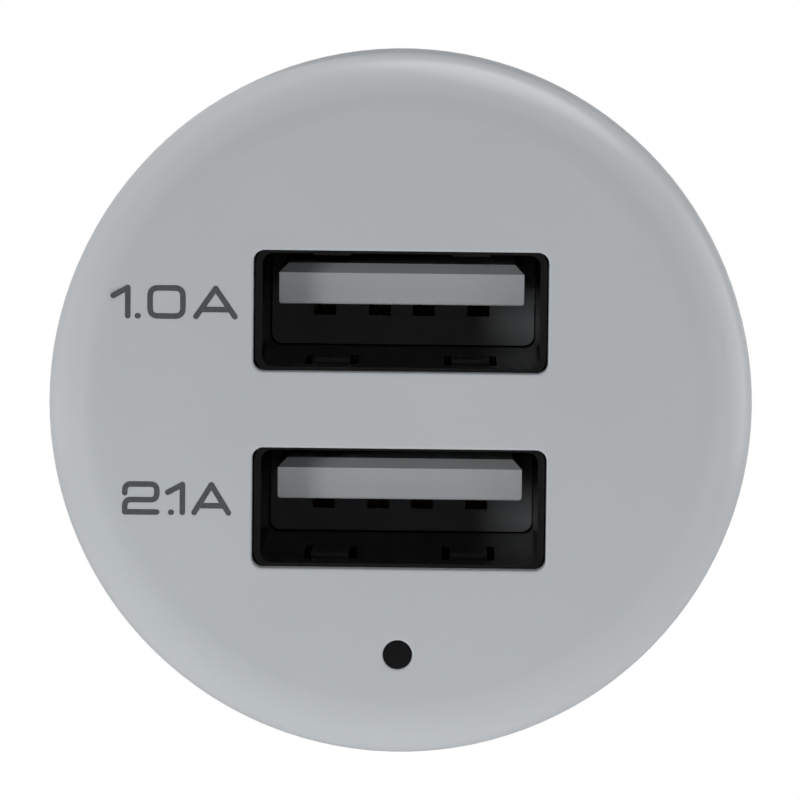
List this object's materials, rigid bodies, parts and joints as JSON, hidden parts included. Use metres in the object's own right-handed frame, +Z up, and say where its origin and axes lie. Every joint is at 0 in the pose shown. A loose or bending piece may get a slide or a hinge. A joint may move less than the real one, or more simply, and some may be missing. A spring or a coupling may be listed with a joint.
{
  "type": "usb charging socket",
  "caption": "Round plug-in charging socket for a car's 12 volt outlet, with USB ports one above the other in a soft edged grey face and a sprung plug behind it.",
  "frame": {"origin": "on the plug's axis, in the plane of the shoulder that meets the rim of the car's outlet", "axes": "+Y along the plug to its tip, -Y out of the face, +Z up with one port above the other"},
  "size_m": [0.032, 0.0632, 0.032],
  "materials": {
    "cap_plastic": "gloss, light grey",
    "plug_plastic": "satin, light grey",
    "nickel": "bright nickel plate",
    "spring_steel": "drawn wire",
    "strip_nickel": "nickel plated spring strip",
    "shell_black": "black plated sheet",
    "tongue_plastic": "grey moulding",
    "contact_gold": "thin gold plate",
    "board": "green solder mask",
    "smoked_lens": "dark tinted, polished",
    "lamp": "clear with a white case",
    "ferrite": "sintered, dull",
    "copper": "enamelled wire",
    "capacitor_sleeve": "shrunk sleeve",
    "chip_resin": "moulded resin",
    "tin": "tinned",
    "chip_ceramic": "fired ceramic",
    "fuse_polymer": "coated polymer"
  },
  "bodies": {
    "charger": {"face_cap": "cap_plastic", "plug_body": "plug_plastic", "nose_ring": "nickel", "tip_spring": "spring_steel", "spring_seat": "tin", "upper_usb_shell": "shell_black", "upper_usb_insulator": "tongue_plastic", "upper_usb_contacts": "contact_gold", "lower_usb_shell": "shell_black", "lower_usb_insulator": "tongue_plastic", "lower_usb_contacts": "contact_gold", "front_board": "board", "main_board": "board", "light_pipe": "smoked_lens", "indicator_led": "lamp", "inductor_core": "ferrite", "inductor_winding": "copper", "input_capacitor": "capacitor_sleeve", "output_capacitor": "capacitor_sleeve", "converter_chip": "chip_resin", "converter_chip_leads": "tin", "rectifier_diode": "chip_resin", "chip_capacitors": "chip_ceramic", "resettable_fuse": "fuse_polymer"},
    "tip": {"tip_contact": "nickel"},
    "right_contact": {"right_side_contact": "strip_nickel"},
    "left_contact": {"left_side_contact": "strip_nickel"}
  },
  "joints": [
    {"name": "tip_contact_slide", "type": "slide", "parent": "charger", "child": "tip", "axis": [0, -1, 0], "range_m": [0, 0.003], "stiffness_N_per_m": 800, "springref_m": -0.002, "deforming": ["tip_spring"]},
    {"name": "right_contact_flex", "type": "hinge", "parent": "charger", "child": "right_contact", "pos_m": [0.00789, 0.004, 0], "axis": [0, 0, 1], "range_deg": [0, 6], "stiffness_Nm_per_rad": 0.25, "springref_deg": -2.29},
    {"name": "left_contact_flex", "type": "hinge", "parent": "charger", "child": "left_contact", "pos_m": [-0.00789, 0.004, 0], "axis": [0, 0, -1], "range_deg": [0, 6], "stiffness_Nm_per_rad": 0.25, "springref_deg": -2.29}
  ]
}
